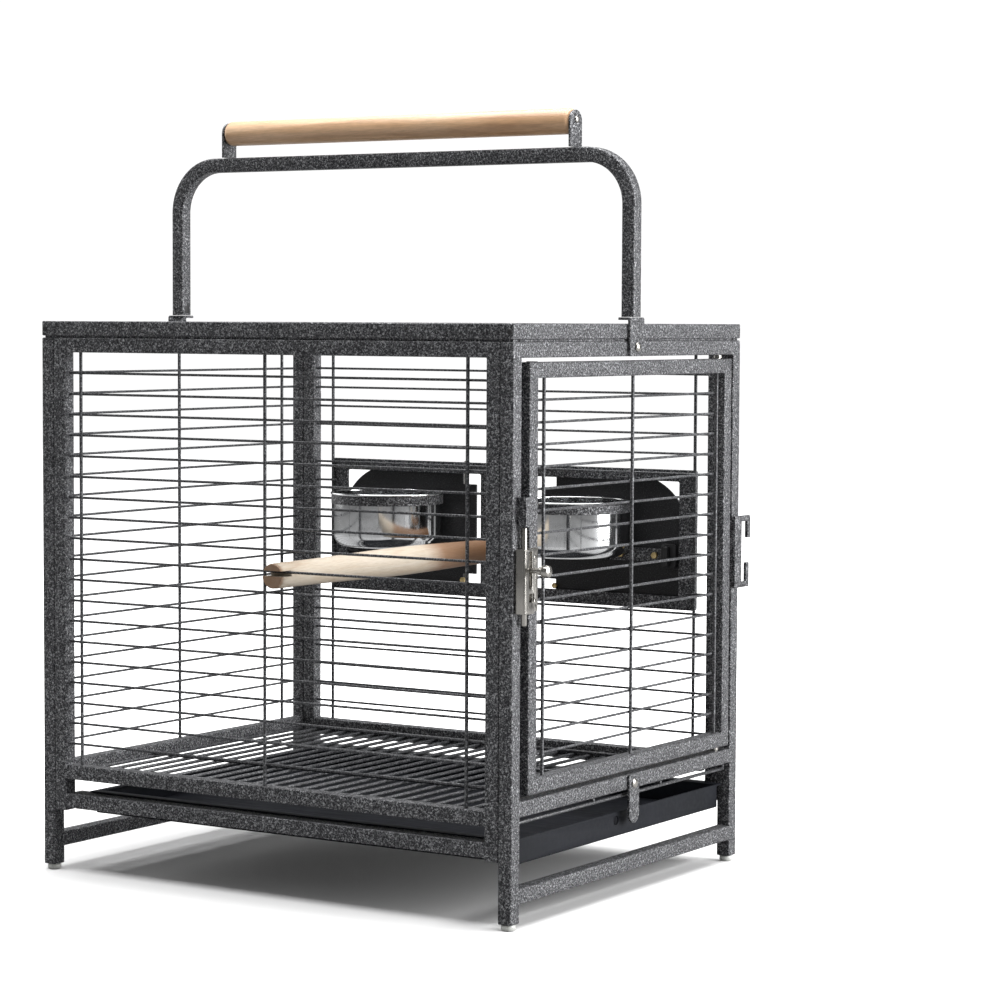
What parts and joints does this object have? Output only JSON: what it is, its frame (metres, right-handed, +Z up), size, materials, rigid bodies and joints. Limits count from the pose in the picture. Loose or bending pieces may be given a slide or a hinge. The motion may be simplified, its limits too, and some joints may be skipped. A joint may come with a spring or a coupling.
{
  "type": "bird travel carrier",
  "caption": "Wire-panelled travel carrier for a bird on square-tube legs, with a hinged end door, slide-out grate and tray, swing-out feeders, a perch and a carrying bow",
  "frame": {"origin": "under the centre of the whole object's box, on the ground plane", "axes": "+X along the long side towards the door, +Y from the front panel to the feeders, +Z up"},
  "size_m": [0.5134, 0.3932, 0.6548],
  "materials": {
    "hammertone_paint": "dark grey hammertone powder coat with fine pale speckle",
    "wire_paint": "dark grey powder coat on wire",
    "tray_paint": "smooth blue-black satin paint",
    "nickel": "bright nickel plate",
    "stainless": "polished stainless",
    "brass_nut": "dull brass",
    "black_plastic": "matte black",
    "glide_plastic": "translucent white",
    "grip_wood": "lacquered tan-brown wood",
    "perch_wood": "bare pale wood"
  },
  "bodies": {
    "cage": {"front_frame": "hammertone_paint", "back_frame": "hammertone_paint", "left_frame": "hammertone_paint", "right_frame": "hammertone_paint", "top_frame": "hammertone_paint", "front_wires": "wire_paint", "back_wires": "wire_paint", "left_wires": "wire_paint", "top_wires": "wire_paint", "feeder_frame_a": "hammertone_paint", "feeder_frame_b": "hammertone_paint", "feeder_pivot_a": "nickel", "feeder_pivot_b": "nickel", "rear_hook_bracket": "hammertone_paint", "bolt_keeper": "hammertone_paint", "door_pin_bottom": "nickel", "door_pin_top": "nickel", "tray_latch_rivet": "nickel", "handle_bolt_left": "nickel", "handle_bolt_right": "nickel", "perch": "perch_wood", "foot_front_left": "glide_plastic", "foot_front_right": "glide_plastic", "foot_rear_left": "glide_plastic", "foot_rear_right": "glide_plastic", "lid_plug_front_left": "black_plastic", "lid_plug_front_right": "black_plastic", "lid_plug_rear_left": "black_plastic", "lid_plug_rear_right": "black_plastic"},
    "door": {"door_frame": "hammertone_paint", "door_wires": "wire_paint", "bolt_barrel": "nickel"},
    "door_bolt": {"bolt_rod": "nickel", "bolt_knob": "nickel"},
    "grate": {"floor_grate": "wire_paint"},
    "tray": {"tray": "tray_paint"},
    "tray_latch": {"tray_latch_tab": "hammertone_paint"},
    "handle": {"handle_bow": "hammertone_paint", "handle_bracket_left": "hammertone_paint", "handle_bracket_right": "hammertone_paint", "handle_grip": "grip_wood", "grip_ear_left": "hammertone_paint", "grip_ear_right": "hammertone_paint", "grip_screw_left": "nickel", "grip_screw_right": "nickel"},
    "hatch_a": {"feeder_hatch_a": "hammertone_paint", "cup_ring_a": "hammertone_paint", "ring_nut_a1": "brass_nut", "ring_nut_a2": "brass_nut"},
    "button_a": {"feeder_button_a": "black_plastic"},
    "bowl_a": {"bowl_a": "stainless"},
    "hatch_b": {"feeder_hatch_b": "hammertone_paint", "cup_ring_b": "hammertone_paint", "ring_nut_b1": "brass_nut", "ring_nut_b2": "brass_nut"},
    "button_b": {"feeder_button_b": "black_plastic"},
    "bowl_b": {"bowl_b": "stainless"}
  },
  "joints": [
    {"name": "door_hinge", "type": "hinge", "parent": "cage", "child": "door", "pos_m": [0.22245, 0.15065, 0.275], "axis": [0, 0, 1], "range_deg": [0, 110]},
    {"name": "door_bolt_slide", "type": "slide", "parent": "door", "child": "door_bolt", "axis": [0, 0, 1], "range_m": [-0.01, 0.012]},
    {"name": "tray_slide", "type": "slide", "parent": "cage", "child": "tray", "axis": [1, 0, 0], "range_m": [-0.3, 0]},
    {"name": "grate_slide", "type": "slide", "parent": "cage", "child": "grate", "axis": [1, 0, 0], "range_m": [0, 0.0035]},
    {"name": "tray_latch_turn", "type": "hinge", "parent": "cage", "child": "tray_latch", "pos_m": [0.23, -0.00485, 0.0934], "axis": [1, 0, 0], "range_deg": [-120, 120]},
    {"name": "handle_tilt", "type": "hinge", "parent": "cage", "child": "handle", "pos_m": [-0.0113, -0.00635, 0.4566], "axis": [1, 0, 0], "range_deg": [-14, 14]},
    {"name": "feeder_swing_a", "type": "hinge", "parent": "cage", "child": "hatch_a", "pos_m": [-0.0618, 0.18545, 0.283], "axis": [0, 0, -1], "range_deg": [0, 95]},
    {"name": "feeder_button_turn_a", "type": "hinge", "parent": "hatch_a", "child": "button_a", "pos_m": [-0.1838, 0.17605, 0.268], "axis": [0, 1, 0], "range_deg": [0, 90]},
    {"name": "bowl_lift_a", "type": "slide", "parent": "hatch_a", "child": "bowl_a", "axis": [0, 0, 1], "range_m": [0, 0.016]},
    {"name": "feeder_swing_b", "type": "hinge", "parent": "cage", "child": "hatch_b", "pos_m": [0.0392, 0.18545, 0.283], "axis": [0, 0, 1], "range_deg": [0, 95]},
    {"name": "feeder_button_turn_b", "type": "hinge", "parent": "hatch_b", "child": "button_b", "pos_m": [0.1612, 0.17605, 0.268], "axis": [0, 1, 0], "range_deg": [0, 90]},
    {"name": "bowl_lift_b", "type": "slide", "parent": "hatch_b", "child": "bowl_b", "axis": [0, 0, 1], "range_m": [0, 0.016]}
  ]
}
